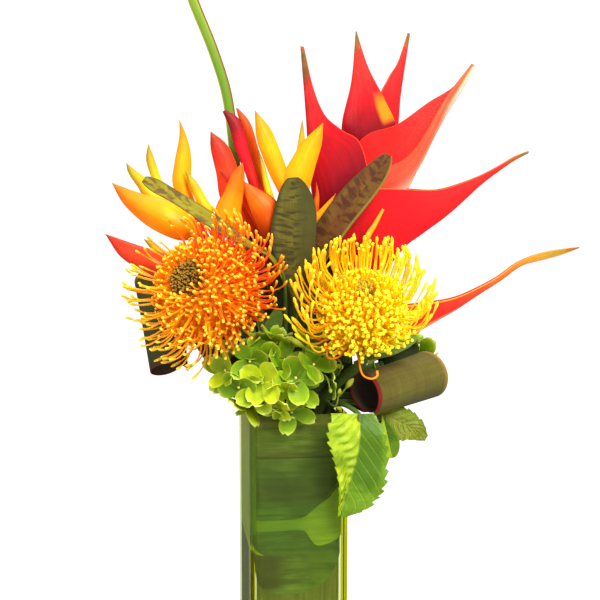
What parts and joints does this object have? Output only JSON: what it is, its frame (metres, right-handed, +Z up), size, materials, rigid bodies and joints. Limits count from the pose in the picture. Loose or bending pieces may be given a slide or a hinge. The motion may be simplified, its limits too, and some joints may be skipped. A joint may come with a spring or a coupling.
{
  "type": "tropical flower arrangement in vase",
  "caption": "Square glass vase lined with leaves and filled with water, holding pincushions, red and parrot heliconias, green hydrangeas and rolled leaves.",
  "frame": {"origin": "centre of the vase's base, on the surface it stands on", "axes": "+Z up along the vase, -Y out of the vase's front face, +X to the right seen from the front"},
  "size_m": [0.4365, 0.2257, 0.6333],
  "materials": {
    "clear_glass": "polished clear glass",
    "still_water": "clear water",
    "lining_green": "wet leaf, dark green",
    "lining_olive": "wet leaf, olive",
    "lining_bright": "wet leaf, bright green",
    "style_orange": "waxy orange styles with yellow knobs",
    "style_yellow": "waxy yellow styles",
    "bract_red": "waxy red bract with green tip",
    "bract_orange": "waxy orange bract",
    "bract_scarlet": "waxy scarlet bract",
    "bract_gold": "waxy golden bract",
    "stem_green": "green stem",
    "stalk_green": "smooth green stalk",
    "banded_green": "matt leaf with dark cross bands",
    "backing_green": "dark green leaf",
    "rolled_brown": "glossy bronze-green leaf with a red margin",
    "floret_lime": "matt lime petals",
    "leaf_lime": "crinkled lime leaf"
  },
  "bodies": {
    "root": {"glass_vase": "clear_glass", "water": "still_water", "lining_leaf_full": "lining_olive", "lining_leaf_lower": "lining_green", "lining_leaf_upper": "lining_green", "lining_leaf_tip": "lining_bright", "green_stalk": "stalk_green", "heliconia_red_head": "bract_red", "heliconia_red_stem": "stem_green", "parrot_left": "bract_orange", "parrot_left_stem": "stem_green", "parrot_low_left": "bract_scarlet", "parrot_low_left_stem": "stem_green", "parrot_centre_left": "bract_scarlet", "parrot_centre_left_stem": "stem_green", "parrot_centre": "bract_gold", "parrot_centre_stem": "stem_green", "parrot_right": "bract_gold", "parrot_right_stem": "stem_green", "parrot_bud": "bract_gold", "banded_leaf_centre": "banded_green", "banded_leaf_right": "banded_green", "banded_leaf_left": "banded_green", "backing_leaf": "backing_green", "rolled_leaf_right": "rolled_brown", "rolled_leaf_left": "rolled_brown", "hydrangea_leaf_front": "leaf_lime", "hydrangea_leaf_side": "leaf_lime", "pincushion_orange_stem": "stem_green", "pincushion_yellow_stem": "stem_green", "pincushion_orange_head": "style_orange", "pincushion_yellow_head": "style_yellow", "hydrangea_front_stem": "stem_green", "hydrangea_front_head": "floret_lime", "hydrangea_back_stem": "stem_green", "hydrangea_back_head": "floret_lime"}
  },
  "joints": []
}
